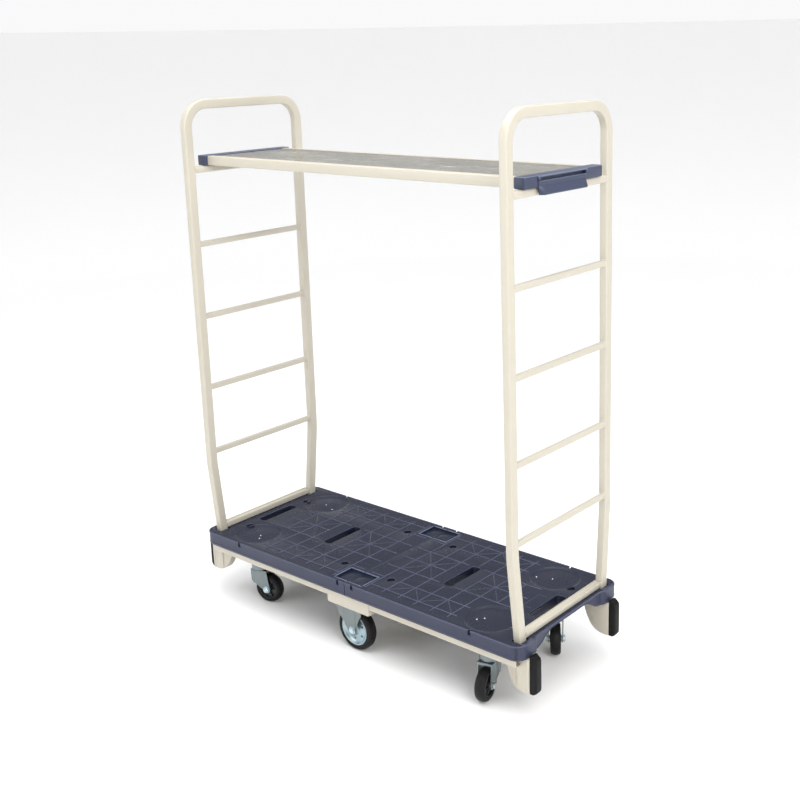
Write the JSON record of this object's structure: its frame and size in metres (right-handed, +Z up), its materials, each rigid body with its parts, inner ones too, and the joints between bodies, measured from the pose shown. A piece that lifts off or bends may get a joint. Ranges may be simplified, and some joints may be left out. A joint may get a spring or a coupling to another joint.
{
  "type": "platform cart",
  "caption": "Long flat platform cart with ladder end frames, a lift-off upper shelf, swivel corner casters and larger fixed middle wheels.",
  "frame": {"origin": "on the floor, under the middle of the deck", "axes": "+X along the deck towards the end with the shelf grip, +Y across the deck, +Z up"},
  "size_m": [1.247, 0.454, 1.502],
  "materials": {
    "ivory_paint": "smooth ivory powder coat",
    "deck_plastic": "moulded dark slate blue plastic, slight sheen",
    "cap_plastic": "moulded blue grey plastic, slight sheen",
    "zinc": "zinc plated pressed steel",
    "black_rubber": "black rubber",
    "tyre": "black solid tyre",
    "shelf_sheet": "glossy grey coated steel sheet"
  },
  "bodies": {
    "chassis": {"deck_left": "deck_plastic", "deck_right": "deck_plastic", "side_rail_near": "ivory_paint", "side_rail_far": "ivory_paint", "cross_beam_left": "ivory_paint", "cross_beam_right": "ivory_paint", "middle_beam": "ivory_paint", "leg_near_left": "ivory_paint", "leg_near_right": "ivory_paint", "leg_far_right": "ivory_paint", "leg_far_left": "ivory_paint", "bumper_near_left": "black_rubber", "bumper_near_right": "black_rubber", "bumper_far_right": "black_rubber", "bumper_far_left": "black_rubber", "caster_plate_near_left": "zinc", "caster_plate_near_right": "zinc", "caster_plate_far_right": "zinc", "caster_plate_far_left": "zinc", "fixed_fork_near": "zinc", "fixed_fork_far": "zinc", "fixed_axle_near": "zinc", "fixed_axle_far": "zinc"},
    "swivel_near_left": {"caster_fork_near_left": "zinc"},
    "wheel_near_left": {"caster_wheel_near_left": "tyre"},
    "swivel_near_right": {"caster_fork_near_right": "zinc"},
    "wheel_near_right": {"caster_wheel_near_right": "tyre"},
    "swivel_far_right": {"caster_fork_far_right": "zinc"},
    "wheel_far_right": {"caster_wheel_far_right": "tyre"},
    "swivel_far_left": {"caster_fork_far_left": "zinc"},
    "wheel_far_left": {"caster_wheel_far_left": "tyre"},
    "middle_wheel_near": {"fixed_tyre_near": "tyre", "fixed_disc_near": "zinc"},
    "middle_wheel_far": {"fixed_tyre_far": "tyre", "fixed_disc_far": "zinc"},
    "frame_left": {"frame_hoop_left": "ivory_paint", "frame_rung_left_1": "ivory_paint", "frame_rung_left_2": "ivory_paint", "frame_rung_left_3": "ivory_paint", "frame_rung_left_4": "ivory_paint", "frame_shelf_bar_left": "ivory_paint", "frame_sill_left": "ivory_paint"},
    "frame_right": {"frame_hoop_right": "ivory_paint", "frame_rung_right_1": "ivory_paint", "frame_rung_right_2": "ivory_paint", "frame_rung_right_3": "ivory_paint", "frame_rung_right_4": "ivory_paint", "frame_shelf_bar_right": "ivory_paint", "frame_sill_right": "ivory_paint"},
    "shelf": {"shelf_sheet": "shelf_sheet", "shelf_channel_near": "ivory_paint", "shelf_channel_far": "ivory_paint", "shelf_cap_left": "cap_plastic", "shelf_cap_right": "cap_plastic"},
    "grip": {"shelf_grip": "cap_plastic"}
  },
  "joints": [
    {"name": "swivel_near_left", "type": "hinge", "parent": "chassis", "child": "swivel_near_left", "pos_m": [-0.443, -0.147, 0.1], "axis": [0, 0, 1], "continuous": true},
    {"name": "roll_near_left", "type": "hinge", "parent": "swivel_near_left", "child": "wheel_near_left", "pos_m": [-0.41547, -0.13962, 0.045], "axis": [-0.2588, 0.9659, 0], "continuous": true},
    {"name": "swivel_near_right", "type": "hinge", "parent": "chassis", "child": "swivel_near_right", "pos_m": [0.443, -0.147, 0.1], "axis": [0, 0, 1], "continuous": true},
    {"name": "roll_near_right", "type": "hinge", "parent": "swivel_near_right", "child": "wheel_near_right", "pos_m": [0.44941, -0.17477, 0.045], "axis": [0.9744, 0.225, 0], "continuous": true},
    {"name": "swivel_far_right", "type": "hinge", "parent": "chassis", "child": "swivel_far_right", "pos_m": [0.443, 0.147, 0.1], "axis": [0, 0, 1], "continuous": true},
    {"name": "roll_far_right", "type": "hinge", "parent": "swivel_far_right", "child": "wheel_far_right", "pos_m": [0.45975, 0.12394, 0.045], "axis": [0.809, 0.5878, 0], "continuous": true},
    {"name": "swivel_far_left", "type": "hinge", "parent": "chassis", "child": "swivel_far_left", "pos_m": [-0.443, 0.147, 0.1], "axis": [0, 0, 1], "continuous": true},
    {"name": "roll_far_left", "type": "hinge", "parent": "swivel_far_left", "child": "wheel_far_left", "pos_m": [-0.41696, 0.15859, 0.045], "axis": [-0.4067, 0.9135, 0], "continuous": true},
    {"name": "roll_middle_near", "type": "hinge", "parent": "chassis", "child": "middle_wheel_near", "pos_m": [0, -0.182, 0.0625], "axis": [0, 1, 0], "continuous": true},
    {"name": "roll_middle_far", "type": "hinge", "parent": "chassis", "child": "middle_wheel_far", "pos_m": [0, 0.182, 0.0625], "axis": [0, 1, 0], "continuous": true},
    {"name": "lift_out_left", "type": "slide", "parent": "chassis", "child": "frame_left", "axis": [0, 0, 1], "range_m": [0, 0.045]},
    {"name": "lift_out_right", "type": "slide", "parent": "chassis", "child": "frame_right", "axis": [0, 0, 1], "range_m": [0, 0.045]},
    {"name": "shelf_lift", "type": "slide", "parent": "frame_left", "child": "shelf", "axis": [0, 0, 1], "range_m": [0, 0.12]},
    {"name": "grip_pull", "type": "hinge", "parent": "shelf", "child": "grip", "pos_m": [0.577, 0, 1.3455], "axis": [0, -1, 0], "range_deg": [0, 25]}
  ],
  "couplings": [
    {"joint": "lift_out_right", "follows": "lift_out_left", "ratio": 1}
  ]
}
